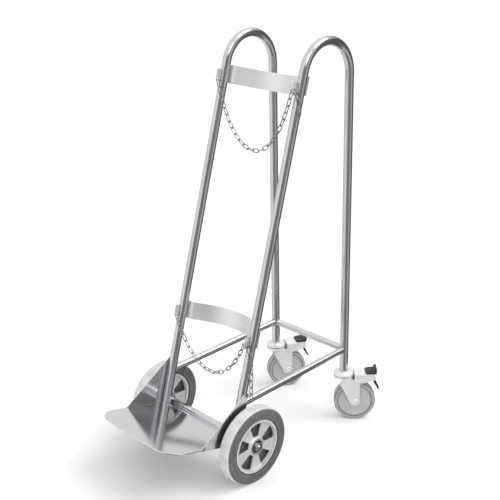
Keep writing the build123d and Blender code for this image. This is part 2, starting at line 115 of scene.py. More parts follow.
def tinted(tree, source, dark, light):
    """A 0 to 1 value as a colour between two."""
    node = tree.nodes.new("ShaderNodeMix")
    node.data_type = "RGBA"
    node.inputs[6].default_value = (*dark, 1)
    node.inputs[7].default_value = (*light, 1)
    tree.links.new(source, node.inputs[0])
    return node.outputs[2]


def steel(name, dark, light, rough, stretch, mark_size=900.0, depth=0.00002, haze_size=9.0, metallic=1.0):
    """Bare or plated metal with ground marks in its bump and its roughness."""
    material = bpy.data.materials.new(name)
    material.use_nodes = True
    tree = material.node_tree
    shader = tree.nodes["Principled BSDF"]
    shader.inputs["Metallic"].default_value = metallic
    marks = tree.nodes.new("ShaderNodeGroup")
    marks.node_tree = ground_marks
    marks.inputs["Stretch"].default_value = stretch
    marks.inputs["Mark size"].default_value = mark_size
    marks.inputs["Haze size"].default_value = haze_size
    both = tree.nodes.new("ShaderNodeMath")
    both.operation = "MULTIPLY_ADD"
    both.inputs[1].default_value = 0.35
    tree.links.new(marks.outputs["Mark"], both.inputs[0])
    soft = tree.nodes.new("ShaderNodeMath")
    soft.operation = "MULTIPLY"
    soft.inputs[1].default_value = 0.65
    tree.links.new(marks.outputs["Haze"], soft.inputs[0])
    tree.links.new(soft.outputs[0], both.inputs[2])
    tone = tinted(tree, ranged(tree, both.outputs[0], 0, 1), dark, light)
    tree.links.new(tone, shader.inputs["Base Color"])
    tree.links.new(ranged(tree, both.outputs[0], rough[0], rough[1]), shader.inputs["Roughness"])
    bump = tree.nodes.new("ShaderNodeBump")
    bump.inputs["Distance"].default_value = depth
    tree.links.new(marks.outputs["Mark"], bump.inputs["Height"])
    tree.links.new(bump.outputs["Normal"], shader.inputs["Normal"])
    return material


same_point = 0.000005


def carried(node, material, edge=0.0003, angle=30.0, segments=2):
    """A CAD node as a finished piece: one closed skin, smooth faces, and broken edges."""
    source = frame["nodes"][node]
    mesh = source.data.copy()
    mesh.name = node + "_finished"
    work = bmesh.new()
    work.from_mesh(mesh)
    bmesh.ops.remove_doubles(work, verts=work.verts, dist=same_point)
    bmesh.ops.dissolve_limit(
        work, angle_limit=math.radians(0.5), verts=work.verts, edges=work.edges, delimit={"NORMAL"}
    )
    bmesh.ops.recalc_face_normals(work, faces=work.faces)
    work.to_mesh(mesh)
    work.free()
    mesh.materials.clear()
    mesh.materials.append(material)
    piece = bpy.data.objects.new(node + "_finished", mesh)
    bpy.context.collection.objects.link(piece)
    for face in mesh.polygons:
        face.use_smooth = True
    mesh.set_sharp_from_angle(angle=math.radians(angle))
    if edge:
        bevel = piece.modifiers.new("broken edge", "BEVEL")
        bevel.width = edge
        bevel.segments = segments
        bevel.limit_method = "ANGLE"
        bevel.angle_limit = math.radians(angle)
        bevel.harden_normals = True
    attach(piece, body_of[node])
    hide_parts(node)
    return piece


tube_greys = ((0.60, 0.605, 0.62), (0.73, 0.735, 0.75))
satin_tube = steel("Satin tube", *tube_greys, (0.11, 0.19), (1, 1, 6))
satin_rail = steel("Satin rail", *tube_greys, (0.12, 0.20), (1, 6, 1))
satin_cross = steel("Satin cross tube", *tube_greys, (0.12, 0.20), (6, 1, 1))
for node in ("left_side_frame", "right_side_frame"):
    carried(node, satin_tube)
for node in ("left_side_rail", "right_side_rail"):
    carried(node, satin_rail)
for node in ("rear_cross_tube", "axle_tube"):
    carried(node, satin_cross)

# ---------------------------------------------------------------- toe plate and gussets
# Bright rolled stainless sheet, nearly a mirror. The plate's front corners are sawn round
# and the gussets are sheared triangles with a lug for the axle, all with filed edges.
bright_plate = steel(
    "Bright plate",
    (0.72, 0.725, 0.735),
    (0.82, 0.825, 0.835),
    (0.07, 0.16),
    (1, 8, 8),
    mark_size=500.0,
    depth=0.00001,
    haze_size=5.0,
)
bright_gusset = steel(
    "Bright gusset",
    (0.70, 0.705, 0.715),
    (0.82, 0.825, 0.835),
    (0.10, 0.20),
    (1, 8, 1),
    mark_size=500.0,
    depth=0.00001,
    haze_size=6.0,
)
carried("toe_plate", bright_plate, edge=0.0005)
for node in ("left_gusset", "right_gusset"):
    carried(node, bright_gusset, edge=0.0004)

# ---------------------------------------------------------------- saddles and chain hooks
# Flat stainless strap, rolled to the cylinder and welded behind the legs. It has a finer,
# whiter satin than the tubes. The hooks are small laser-cut tabs of the same strap.
satin_strap = steel(
    "Satin strap", (0.76, 0.765, 0.775), (0.88, 0.885, 0.895), (0.34, 0.46), (1, 1, 14), 260.0, metallic=0.65
)
hook_steel = steel(
    "Hook plate", (0.64, 0.645, 0.655), (0.80, 0.805, 0.81), (0.22, 0.36), (3, 1, 1), 400.0, metallic=0.7
)
for node in ("upper_saddle", "lower_saddle"):
    carried(node, satin_strap, edge=0.0005)
for level in ("upper", "lower"):
    for side in ("left", "right"):
        carried(f"{level}_{side}_hook", hook_steel, edge=0.0003)

# ---------------------------------------------------------------- chains
# Welded stainless chain: round wire bent to links, each closed by a butt weld that leaves a
# small ring on one side. The links turn a quarter from one to the next.
wire = 0.0028
link_outer = 0.0228
link_across = 0.0098
chain_steel = steel(
    "Chain steel", (0.22, 0.22, 0.225), (0.52, 0.52, 0.53), (0.12, 0.26), (1, 1, 1), 600.0, haze_size=60.0
)


def make_link_tree():
    """Geometry nodes: a welded link on every point, turned by the point's own two directions."""
    tree = bpy.data.node_groups.new("Welded links", "GeometryNodeTree")
    tree.interface.new_socket("Geometry", in_out="INPUT", socket_type="NodeSocketGeometry")
    for label, value in (("Link length", link_outer), ("Link width", link_across), ("Wire", wire)):
        socket = tree.interface.new_socket(label, in_out="INPUT", socket_type="NodeSocketFloat")
        socket.default_value = value
    tree.interface.new_socket("Finish", in_out="INPUT", socket_type="NodeSocketMaterial")
    tree.interface.new_socket("Geometry", in_out="OUTPUT", socket_type="NodeSocketGeometry")
    new = tree.nodes.new
    link = tree.links.new
    given = new("NodeGroupInput")
    out = new("NodeGroupOutput")
    outline = new("GeometryNodeCurvePrimitiveQuadrilateral")
    link(given.outputs["Link length"], outline.inputs["Width"])
    link(given.outputs["Link width"], outline.inputs["Height"])
    half = new("ShaderNodeMath")
    half.operation = "MULTIPLY"
    half.inputs[1].default_value = 0.4999
    link(given.outputs["Link width"], half.inputs[0])
    rounded = new("GeometryNodeFilletCurve")
    rounded.mode = "POLY"
    rounded.inputs["Count"].default_value = 8
    link(outline.outputs["Curve"], rounded.inputs["Curve"])
    link(half.outputs[0], rounded.inputs["Radius"])
    wire_radius = new("ShaderNodeMath")
    wire_radius.operation = "MULTIPLY"
    wire_radius.inputs[1].default_value = 0.5
    link(given.outputs["Wire"], wire_radius.inputs[0])
    section = new("GeometryNodeCurvePrimitiveCircle")
    section.inputs["Resolution"].default_value = 12
    link(wire_radius.outputs[0], section.inputs["Radius"])
    bent = new("GeometryNodeCurveToMesh")
    link(rounded.outputs["Curve"], bent.inputs["Curve"])
    link(section.outputs["Curve"], bent.inputs["Profile Curve"])
    bead_radius = new("ShaderNodeMath")
    bead_radius.operation = "MULTIPLY"
    bead_radius.inputs[1].default_value = 0.6
    link(given.outputs["Wire"], bead_radius.inputs[0])
    bead = new("GeometryNodeMeshUVSphere")
    bead.inputs["Segments"].default_value = 14
    bead.inputs["Rings"].default_value = 8
    link(bead_radius.outputs[0], bead.inputs["Radius"])
    shift = new("ShaderNodeCombineXYZ")
    link(half.outputs[0], shift.inputs["Y"])
    set_bead = new("GeometryNodeTransform")
    link(bead.outputs["Mesh"], set_bead.inputs["Geometry"])
    link(shift.outputs[0], set_bead.inputs["Translation"])
    joined = new("GeometryNodeJoinGeometry")
    link(bent.outputs["Mesh"], joined.inputs[0])
    link(set_bead.outputs[0], joined.inputs[0])
    along = new("GeometryNodeInputNamedAttribute")
    along.data_type = "FLOAT_VECTOR"
    along.inputs["Name"].default_value = "along"
    flat = new("GeometryNodeInputNamedAttribute")
    flat.data_type = "FLOAT_VECTOR"
    flat.inputs["Name"].default_value = "flat"
    turn = new("FunctionNodeAxesToRotation")
    turn.primary_axis = "X"
    turn.secondary_axis = "Z"
    link(along.outputs["Attribute"], turn.inputs["Primary Axis"])
    link(flat.outputs["Attribute"], turn.inputs["Secondary Axis"])
    placed = new("GeometryNodeInstanceOnPoints")
    link(given.outputs["Geometry"], placed.inputs["Points"])
    link(joined.outputs[0], placed.inputs["Instance"])
    link(turn.outputs["Rotation"], placed.inputs["Rotation"])
    real = new("GeometryNodeRealizeInstances")
    link(placed.outputs[0], real.inputs[0])
    smooth = new("GeometryNodeSetShadeSmooth")
    link(real.outputs[0], smooth.inputs["Geometry"])
    finish = new("GeometryNodeSetMaterial")
    link(smooth.outputs[0], finish.inputs["Geometry"])
    link(given.outputs["Finish"], finish.inputs["Material"])
    link(finish.outputs[0], out.inputs["Geometry"])
    return tree


def socket_id(tree, label):
    """The identifier of a tree's input, by its label."""
    return next(i.identifier for i in tree.interface.items_tree if i.name == label and i.in_out == "INPUT")


def grown(name, points, tree, values):
    """The points run through a node tree, and the result kept as a plain mesh."""
    carrier = bpy.data.objects.new(name + "_points", points)
    bpy.context.collection.objects.link(carrier)
    modifier = carrier.modifiers.new("grow", "NODES")
    modifier.node_group = tree
    for label, value in values.items():
        modifier[socket_id(tree, label)] = value
    deps = bpy.context.evaluated_depsgraph_get()
    mesh = bpy.data.meshes.new_from_object(carrier.evaluated_get(deps))
    carrier.modifiers.remove(modifier)
    bpy.data.objects.remove(carrier)
    piece = bpy.data.objects.new(name, mesh)
    bpy.context.collection.objects.link(piece)
    return piece


def loose_parts(node):
    """The vertices of each separate solid of a CAD node."""
    work = bmesh.new()
    work.from_mesh(frame["nodes"][node].data)
    bmesh.ops.remove_doubles(work, verts=work.verts, dist=same_point)
    left = set(work.verts)
    parts = []
    while left:
        queue = [left.pop()]
        part = []
        while queue:
            vert = queue.pop()
            part.append(vert.co.copy())
            for edge in vert.link_edges:
                other = edge.other_vert(vert)
                if other in left:
                    left.remove(other)
                    queue.append(other)
        parts.append(np.array(part))
    work.free()
    return parts


link_tree = make_link_tree()


def hang_chain(node):
    """A link on the middle of each CAD link, lying along its long axis and facing its thin one."""
    parts = loose_parts(node)
    points = bpy.data.meshes.new(node + "_middles")
    points.from_pydata([part.mean(0) for part in parts], [], [])
    along = points.attributes.new("along", "FLOAT_VECTOR", "POINT")
    flat = points.attributes.new("flat", "FLOAT_VECTOR", "POINT")
    for i, part in enumerate(parts):
        spread = part - part.mean(0)
        axes = np.linalg.eigh(spread.T @ spread)[1]
        along.data[i].vector = axes[:, 2]
        flat.data[i].vector = axes[:, 0]
    piece = grown(node + "_links", points, link_tree, {"Finish": chain_steel})
    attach(piece, body_of[node])
    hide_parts(node)


for level in ("upper", "lower"):
    for node in (f"{level}_chain", f"{level}_chain_tail", f"{level}_hooked_link"):
        hang_chain(node)

# ---------------------------------------------------------------- welds
# Tungsten-arc seams with overlapping ripples, slightly straw coloured beside the bead: round
# each coped tube end, along the straps and tabs, and where the plate meets legs and gussets.
weld_metal = steel(
    "Weld bead",
    (0.34, 0.32, 0.28),
    (0.60, 0.58, 0.54),
    (0.22, 0.42),
    (1, 1, 1),
    mark_size=700.0,
    depth=0.00006,
    haze_size=90.0,
)


def make_bead_tree():
    """Geometry nodes: a rippled bead along each line of edges."""
    tree = bpy.data.node_groups.new("Rippled bead", "GeometryNodeTree")
    tree.interface.new_socket("Geometry", in_out="INPUT", socket_type="NodeSocketGeometry")
    for label, value in (("Bead", 0.0016), ("Ripple", 0.0014), ("Unevenness", 0.25)):
        socket = tree.interface.new_socket(label, in_out="INPUT", socket_type="NodeSocketFloat")
        socket.default_value = value
    tree.interface.new_socket("Finish", in_out="INPUT", socket_type="NodeSocketMaterial")
    tree.interface.new_socket("Geometry", in_out="OUTPUT", socket_type="NodeSocketGeometry")
    new = tree.nodes.new
    link = tree.links.new
    given = new("NodeGroupInput")
    out = new("NodeGroupOutput")
    seam = new("GeometryNodeMeshToCurve")
    link(given.outputs["Geometry"], seam.inputs["Mesh"])
    steps = new("GeometryNodeResampleCurve")
    steps.mode = "LENGTH"
    step = new("ShaderNodeMath")
    step.operation = "MULTIPLY"
    step.inputs[1].default_value = 0.5
    link(given.outputs["Ripple"], step.inputs[0])
    link(seam.outputs["Curve"], steps.inputs["Curve"])
    link(step.outputs[0], steps.inputs["Length"])
    index = new("GeometryNodeInputIndex")
    odd = new("ShaderNodeMath")
    odd.operation = "MODULO"
    odd.inputs[1].default_value = 2.0
    link(index.outputs[0], odd.inputs[0])
    swell = new("ShaderNodeMath")
    swell.operation = "MULTIPLY_ADD"
    swell.inputs[2].default_value = 0.85
    link(odd.outputs[0], swell.inputs[0])
    link(given.outputs["Unevenness"], swell.inputs[1])
    size = new("ShaderNodeMath")
    size.operation = "MULTIPLY"
    link(swell.outputs[0], size.inputs[0])
    link(given.outputs["Bead"], size.inputs[1])
    section = new("GeometryNodeCurvePrimitiveCircle")
    section.inputs["Resolution"].default_value = 10
    section.inputs["Radius"].default_value = 1.0
    run = new("GeometryNodeCurveToMesh")
    run.inputs["Fill Caps"].default_value = True
    link(steps.outputs["Curve"], run.inputs["Curve"])
    link(section.outputs["Curve"], run.inputs["Profile Curve"])
    link(size.outputs[0], run.inputs["Scale"])
    smooth = new("GeometryNodeSetShadeSmooth")
    link(run.outputs["Mesh"], smooth.inputs["Geometry"])
    real = new("GeometryNodeRealizeInstances")
    link(smooth.outputs[0], real.inputs[0])
    finish = new("GeometryNodeSetMaterial")
    link(real.outputs[0], finish.inputs["Geometry"])
    link(given.outputs["Finish"], finish.inputs["Material"])
    link(finish.outputs[0], out.inputs["Geometry"])
    return tree


bead_tree = make_bead_tree()
seam_points = []
seam_edges = []


def seam(points, closed=False):
    """Adds a line of points to be welded along."""
    start = len(seam_points)
    seam_points.extend(points)
    count = len(points)
    for i in range(count if closed else count - 1):
        seam_edges.append((start + i, start + (i + 1) % count))


def node_vertices(node):
    """A CAD node's vertices as an array."""
    return np.array([vert.co for vert in frame["nodes"][node].data.vertices])


# Round each end of the rails and the cross tube, through the outermost vertex every ten degrees.
rail_half = 0.0100
skin = 0.0006
ring_steps = 36
rail_end = 0.03
cross_tube_end = 0.1
rail_slope_ends = 0.01
for node in ("left_side_rail", "right_side_rail"):
    cloud = node_vertices(node)
    low, high = cloud.min(0), cloud.max(0)
    middle = Vector((low + high) / 2)
    run = Vector((0, high[1] - low[1] - rail_slope_ends, high[2] - low[2] - 2 * rail_half)).normalized()
    from_middle = cloud - np.array(middle)
    along = from_middle @ np.array(run)
    off_axis = np.linalg.norm(from_middle - np.outer(along, np.array(run)), axis=1)
    side = Vector((1, 0, 0))
    up = run.cross(side)
    for end in (-1, 1):
        near_end = along * end > (along * end).max() - rail_end
        outermost = {}
        for co in cloud[near_end & (off_axis > rail_half - skin)]:
            away = Vector(co) - middle
            key = round(math.atan2(away.dot(up), away.dot(side)) / (2 * math.pi) * ring_steps)
            if key not in outermost or (away.dot(run) * end) > (outermost[key] - middle).dot(run) * end:
                outermost[key] = Vector(co)
        half_turn = ring_steps // 2
        seam([outermost[k] for k in sorted(outermost) if k != half_turn or -half_turn not in outermost], True)

cloud = node_vertices("rear_cross_tube")
middle = Vector((cloud.min(0) + cloud.max(0)) / 2)
for end in (-1, 1):
    outermost = {}
    for co in cloud:
        away = Vector(co) - middle
        if math.hypot(away.y, away.z) < rail_half - skin or away.x * end < cross_tube_end:
            continue
        key = round(math.atan2(away.z, away.y) / (2 * math.pi) * ring_steps) % ring_steps
        if key not in outermost or away.x * end > (outermost[key].x - middle.x) * end:
            outermost[key] = Vector(co)
    seam([outermost[k] for k in sorted(outermost)], True)

# The chains' hinge points lie one below the other along the front legs, which gives the leg's line.
top_eye = joint_at["upper_chain_swing"]
low_eye = joint_at["lower_chain_swing"]
leg_down = (low_eye - top_eye).normalized()
leg_front = leg_down.cross(Vector((1, 0, 0)))
eye_reach = 0.023
tube_half = 0.0125
eyes_apart = (low_eye - top_eye).length


def by_leg(x, down, front):
    """A point by a front leg: down from the upper hook's eye, and out in front of its axis."""
    return Vector((x, top_eye.y, top_eye.z)) + leg_down * down + leg_front * (front - eye_reach)


def straight_seam(start, end):
    """A weld in a straight line."""
    seam([start.lerp(end, i / 8) for i in range(9)])


plate_down = 0.948
gusset_height = 0.140
gusset_front = 0.132
strap_width = 0.049
upper_strap_top = -0.044
lower_strap_top = eyes_apart - 0.041
strap_face = -0.0118
strap_seam_off = 0.0045
tab_face = 0.0126
tab_seam_off = 0.0016
tab_above_eye = 0.022
tab_below_eye = 0.005
foot_steps = 32
for side, sign in (("left", -1), ("right", 1)):
    frame_low, frame_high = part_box(f"{side}_side_frame")
    leg_x = (frame_low.x + frame_high.x) / 2
    foot = []
    for i in range(foot_steps):
        turn = 2 * math.pi * i / foot_steps
        foot.append(by_leg(leg_x + tube_half * math.sin(turn), plate_down, tube_half * math.cos(turn)))
    seam(foot, True)
    gusset_x = leg_x + sign * (tube_half + skin)
    straight_seam(by_leg(gusset_x, plate_down - gusset_height, 0), by_leg(gusset_x, plate_down - 0.010, 0))
    straight_seam(by_leg(gusset_x, plate_down, 0.016), by_leg(gusset_x, plate_down, gusset_front))
    for strap_top in (upper_strap_top, lower_strap_top):
        for off in (-strap_seam_off, strap_seam_off):
            top = by_leg(leg_x + off, strap_top + 0.001, strap_face)
            straight_seam(top, by_leg(leg_x + off, strap_top + strap_width, strap_face))
    for eye_down in (0, eyes_apart):
        for off in (-tab_seam_off, tab_seam_off):
            top = by_leg(leg_x + off, eye_down - tab_above_eye, tab_face)
            straight_seam(top, by_leg(leg_x + off, eye_down + tab_below_eye, tab_face))

welds_mesh = bpy.data.meshes.new("seams")
welds_mesh.from_pydata(seam_points, seam_edges, [])
welds = grown("frame_welds", welds_mesh, bead_tree, {"Finish": weld_metal})
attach(welds, "frame")

# ---------------------------------------------------------------- main wheels
# Die-cast aluminium centres with five pockets, bead-blasted and left bare, and pressed-on
# solid tyres of dark grey rubber. Shielded ball bearings sit in the hub.


def make_moulded_skin():
    """Moulded rubber or plastic: fine pores, slow changes of tone, and patches of dust."""
    group, given, out = shade_group(
        "Moulded skin",
        [("Shade", "NodeSocketFloat"), ("Pores", "NodeSocketFloat"), ("Dust", "NodeSocketFloat")],
        [("Pore size", "NodeSocketFloat", 1400.0), ("Patch size", "NodeSocketFloat", 22.0)],
    )
    place = group.nodes.new("ShaderNodeTexCoord")
    pores = group.nodes.new("ShaderNodeTexNoise")
    pores.inputs["Detail"].default_value = 3.0
    patch = group.nodes.new("ShaderNodeTexNoise")
    patch.inputs["Detail"].default_value = 6.0
    dust = group.nodes.new("ShaderNodeTexNoise")
    dust.inputs["Detail"].default_value = 8.0
    dust.inputs["Scale"].default_value = 60.0
    link = group.links.new
    for node in (pores, patch, dust):
        link(place.outputs["Object"], node.inputs["Vector"])
    link(given.outputs["Pore size"], pores.inputs["Scale"])
    link(given.outputs["Patch size"], patch.inputs["Scale"])
    link(patch.outputs["Fac"], out.inputs["Shade"])
    link(pores.outputs["Fac"], out.inputs["Pores"])
    link(dust.outputs["Fac"], out.inputs["Dust"])
    return group


moulded_skin = make_moulded_skin()


def moulded(name, dark, light, rough, pore_size=1400.0, depth=0.00004, patch_size=22.0, dusty=0.0):
    """Rubber or plastic as it comes from a mould, with dust over it if asked."""
    material = bpy.data.materials.new(name)
    material.use_nodes = True
    tree = material.node_tree
    shader = tree.nodes["Principled BSDF"]
    skin = tree.nodes.new("ShaderNodeGroup")
    skin.node_tree = moulded_skin
    skin.inputs["Pore size"].default_value = pore_size
    skin.inputs["Patch size"].default_value = patch_size
    base = tinted(tree, ranged(tree, skin.outputs["Shade"], 0, 1), dark, light)
    if dusty:
        dust = tree.nodes.new("ShaderNodeMix")
        dust.data_type = "RGBA"
        dust.inputs[7].default_value = (0.42, 0.41, 0.39, 1)
        tree.links.new(base, dust.inputs[6])
        tree.links.new(ranged(tree, skin.outputs["Dust"], 0, dusty), dust.inputs[0])
        base = dust.outputs[2]
    tree.links.new(base, shader.inputs["Base Color"])
    tree.links.new(ranged(tree, skin.outputs["Pores"], rough[0], rough[1]), shader.inputs["Roughness"])
    bump = tree.nodes.new("ShaderNodeBump")
    bump.inputs["Distance"].default_value = depth
    tree.links.new(skin.outputs["Pores"], bump.inputs["Height"])
    tree.links.new(bump.outputs["Normal"], shader.inputs["Normal"])
    return material


tyre_rubber = moulded("Tyre rubber", (0.085, 0.090, 0.095), (0.125, 0.130, 0.136), (0.48, 0.62), dusty=0.12)


def make_axle_distance():
    """How far a point of a wheel lies from its own axle."""
    group, given, out = shade_group(
        "Distance from an axle",
        [("Distance", "NodeSocketFloat")],
        [("Middle", "NodeSocketVector", (0, 0, 0)), ("Axle", "NodeSocketVector", (1, 0, 0))],
    )
    place = group.nodes.new("ShaderNodeTexCoord")
    away = group.nodes.new("ShaderNodeVectorMath")
    away.operation = "SUBTRACT"
    across = group.nodes.new("ShaderNodeVectorMath")
    across.operation = "CROSS_PRODUCT"
    length = group.nodes.new("ShaderNodeVectorMath")
    length.operation = "LENGTH"
    group.links.new(place.outputs["Object"], away.inputs[0])
    group.links.new(given.outputs["Middle"], away.inputs[1])
    group.links.new(away.outputs[0], across.inputs[0])
    group.links.new(given.outputs["Axle"], across.inputs[1])
    group.links.new(across.outputs[0], length.inputs[0])
    group.links.new(length.outputs["Value"], out.inputs["Distance"])
    return group


axle_distance = make_axle_distance()


def banded(material, middle, axle, bands, uneven=0.3):
    """Rings of another colour over a finished material: inner and outer radius, blur, colour."""
    tree = material.node_tree
    distance = tree.nodes.new("ShaderNodeGroup")
    distance.node_tree = axle_distance
    distance.inputs["Middle"].default_value = middle
    distance.inputs["Axle"].default_value = axle
    place = tree.nodes.new("ShaderNodeTexCoord")
    patchy = tree.nodes.new("ShaderNodeTexNoise")
    patchy.inputs["Scale"].default_value = 45.0
    patchy.inputs["Detail"].default_value = 7.0
    tree.links.new(place.outputs["Object"], patchy.inputs["Vector"])
    cover = ranged(tree, patchy.outputs["Fac"], 1.0 - uneven, 1.0)
    shader = tree.nodes["Principled BSDF"]
    for inner, outer, blur, colour in bands:
        rise = tree.nodes.new("ShaderNodeMapRange")
        rise.inputs["From Min"].default_value = inner - blur
        rise.inputs["From Max"].default_value = inner
        fall = tree.nodes.new("ShaderNodeMapRange")
        fall.inputs["From Min"].default_value = outer + blur
        fall.inputs["From Max"].default_value = outer
        both = tree.nodes.new("ShaderNodeMath")
        both.operation = "MULTIPLY"
        amount = tree.nodes.new("ShaderNodeMath")
        amount.operation = "MULTIPLY"
        mixed = tree.nodes.new("ShaderNodeMix")
        mixed.data_type = "RGBA"
        mixed.inputs[7].default_value = (*colour, 1)
        tree.links.new(distance.outputs[0], rise.inputs["Value"])
        tree.links.new(distance.outputs[0], fall.inputs["Value"])
        tree.links.new(rise.outputs["Result"], both.inputs[0])
        tree.links.new(fall.outputs["Result"], both.inputs[1])
        tree.links.new(both.outputs[0], amount.inputs[0])
        tree.links.new(cover, amount.inputs[1])
        tree.links.new(amount.outputs[0], mixed.inputs[0])
        tree.links.new(shader.inputs["Base Color"].links[0].from_socket, mixed.inputs[6])
        tree.links.new(mixed.outputs[2], shader.inputs["Base Color"])


def painted_recess_shade(material, middle, half_depth, blur, colour):
    """Painted shade in the recess of a rim, darker than its faces: found by depth from the middle."""
    tree = material.node_tree
    place = tree.nodes.new("ShaderNodeTexCoord")
    parts = tree.nodes.new("ShaderNodeSeparateXYZ")
    tree.links.new(place.outputs["Object"], parts.inputs[0])
    side = tree.nodes.new("ShaderNodeMath")
    side.operation = "ABSOLUTE"
    tree.links.new(parts.outputs["X"], side.inputs[0])
    off = tree.nodes.new("ShaderNodeMath")
    off.operation = "SUBTRACT"
    off.inputs[1].default_value = middle
    tree.links.new(side.outputs[0], off.inputs[0])
    depth = tree.nodes.new("ShaderNodeMath")
    depth.operation = "ABSOLUTE"
    tree.links.new(off.outputs[0], depth.inputs[0])
    inside = tree.nodes.new("ShaderNodeMapRange")
    inside.inputs["From Min"].default_value = half_depth
    inside.inputs["From Max"].default_value = half_depth - blur
    tree.links.new(depth.outputs[0], inside.inputs["Value"])
    shader = tree.nodes["Principled BSDF"]
    mixed = tree.nodes.new("ShaderNodeMix")
    mixed.data_type = "RGBA"
    mixed.inputs[7].default_value = (*colour, 1)
    tree.links.new(inside.outputs["Result"], mixed.inputs[0])
    tree.links.new(shader.inputs["Base Color"].links[0].from_socket, mixed.inputs[6])
    tree.links.new(mixed.outputs[2], shader.inputs["Base Color"])


axle_middle = joint_at["right_wheel_spin"]
rim_low, rim_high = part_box("right_wheel_rim")
# Painted shade: a near-black ring on the tyre where it meets the rim.
rim_joint_shade = (0.0770, 0.0792, 0.0005, (0.03, 0.03, 0.03))
mould_line = (0.0905, 0.0912, 0.0004, (0.05, 0.05, 0.05))
# Painted highlight: a pale band over the tyre's tread.
painted_tread_highlight = (0.1085, 0.2, 0.002, (0.74, 0.74, 0.73))
banded(tyre_rubber, axle_middle, (1, 0, 0), (rim_joint_shade, mould_line, painted_tread_highlight))
cast_rim = steel(
    "Cast rim",
    (0.62, 0.62, 0.62),
    (0.84, 0.84, 0.84),
    (0.32, 0.50),
    (1, 1, 1),
    mark_size=1200.0,
    depth=0.00008,
    haze_size=30.0,
    metallic=0.45,
)
# Painted shade: the rim's pockets are coloured dark by their depth.
painted_recess_shade(cast_rim, (rim_low.x + rim_high.x) / 2, 0.0115, 0.004, (0.12, 0.125, 0.13))
# Painted highlights: near-white rings at the rim's lip and round the hub. The hub face inside them is painted
# a darker grey.
painted_lip_highlight = (0.0735, 0.0785, 0.0004, (0.93, 0.93, 0.93))
painted_hub_highlight = (0.0238, 0.0256, 0.0004, (0.93, 0.93, 0.93))
hub_face = (0.0, 0.0232, 0.0006, (0.34, 0.34, 0.35))
banded(cast_rim, axle_middle, (1, 0, 0), (painted_lip_highlight, painted_hub_highlight, hub_face), 0.1)
bearing_shield = steel(
    "Bearing shield", (0.05, 0.05, 0.05), (0.11, 0.11, 0.11), (0.28, 0.42), (1, 1, 1), haze_size=50.0
)
for side in ("left", "right"):
    carried(f"{side}_wheel_tyre", tyre_rubber, edge=0.0008)
    carried(f"{side}_wheel_rim", cast_rim, edge=0.0012, segments=3)
    carried(f"{side}_wheel_bearings", bearing_shield, edge=0.0004)

# ---------------------------------------------------------------- axle and its fasteners
# Ground bright bar through both gussets, with turned spacers, plain washers and nuts.
bright_bar = steel("Bright bar", (0.62, 0.62, 0.61), (0.80, 0.80, 0.79), (0.08, 0.18), (12, 1, 1), 300.0)
for node in ("wheel_axle", "axle_spacers", "axle_washers", "axle_nuts"):
    carried(node, bright_bar, edge=0.0006)

# ---------------------------------------------------------------- castors
# Pressed steel, bright zinc plated with a faint blue and straw cast. The wheel is a grey
# plastic centre with a softer grey tread moulded round it, and the pedal is black plastic.
zinc = steel(
    "Bright zinc",
    (0.86, 0.87, 0.88),
    (0.94, 0.94, 0.925),
    (0.20, 0.32),
    (1, 1, 1),
    mark_size=500.0,
    haze_size=14.0,
    metallic=0.35,
)
black_plastic = moulded("Black plastic", (0.012, 0.012, 0.013), (0.03, 0.03, 0.032), (0.35, 0.5))
axle_of = {joint["name"]: Vector(joint["axis"]) for joint in frame["record"]["behaviour"]["joints"]}
for side in ("left", "right"):
    middle = joint_at[f"{side}_castor_wheel_spin"]
    axle = axle_of[f"{side}_castor_wheel_spin"]
    castor_plastic = moulded(
        f"Grey plastic {side}", (0.44, 0.44, 0.45), (0.52, 0.52, 0.53), (0.38, 0.5), dusty=0.06
    )
    # Painted shade: dark rings on the castor core, in its groove and at its edge by the tread.
    core_groove_shade = (0.0490, 0.0500, 0.0004, (0.16, 0.16, 0.17))
    core_edge_shade = (0.0520, 0.0531, 0.0004, (0.07, 0.07, 0.07))
    banded(castor_plastic, middle, axle, (core_groove_shade, core_edge_shade), 0.0)
    castor_rubber = moulded(
        f"Grey tread {side}", (0.36, 0.37, 0.38), (0.46, 0.47, 0.48), (0.5, 0.65), dusty=0.15
    )
    # Painted shade: dark rings on the castor tread, at its root by the core and round its shoulder.
    tread_root_shade = (0.0500, 0.0538, 0.0004, (0.07, 0.07, 0.07))
    tread_shoulder_shade = (0.0605, 0.0618, 0.0008, (0.10, 0.10, 0.105))
    banded(castor_rubber, middle, axle, (tread_root_shade, tread_shoulder_shade), 0.1)
    for name in ("head", "fork", "bolt", "balls", "sleeve", "axle_bolt", "axle_nut"):
        carried(f"{side}_castor_{name}", zinc, edge=0.0004)
    carried(f"{side}_brake_pin", zinc, edge=0.0004)
    carried(f"{side}_brake_channel", zinc, edge=0.0006)
    carried(f"{side}_castor_core", castor_plastic, edge=0.0006)
    carried(f"{side}_castor_tread", castor_rubber, edge=0.0006)
    carried(f"{side}_castor_plug", black_plastic, edge=0.0004)
    carried(f"{side}_brake_pedal", black_plastic, edge=0.0008)
    carried(f"{side}_brake_release", black_plastic, edge=0.0008)

# ---------------------------------------------------------------- floor, light and camera
# A plain pale floor, a soft light high in front and a broad window light. Round them is a pale
# room with lighter and darker walls, which polished tubes need to show their roundness.
floor_mesh = bpy.data.meshes.new("floor")
floor_mesh.from_pydata([(-40, -40, 0), (40, -40, 0), (40, 40, 0), (-40, 40, 0)], [], [(0, 1, 2, 3)])
floor = bpy.data.objects.new("floor", floor_mesh)
bpy.context.collection.objects.link(floor)
floor.location.z = -0.0005
floor_paint = bpy.data.materials.new("Pale floor")
floor_paint.use_nodes = True
floor_shader = floor_paint.node_tree.nodes["Principled BSDF"]
floor_shader.inputs["Base Color"].default_value = (0.92, 0.92, 0.92, 1)
floor_shader.inputs["Roughness"].default_value = 0.9
floor_shader.inputs["Specular IOR Level"].default_value = 0.1
floor_mesh.materials.append(floor_paint)
floor.visible_glossy = False

world = bpy.data.worlds.new("Studio")
bpy.context.scene.world = world
world.use_nodes = True
sky = world.node_tree
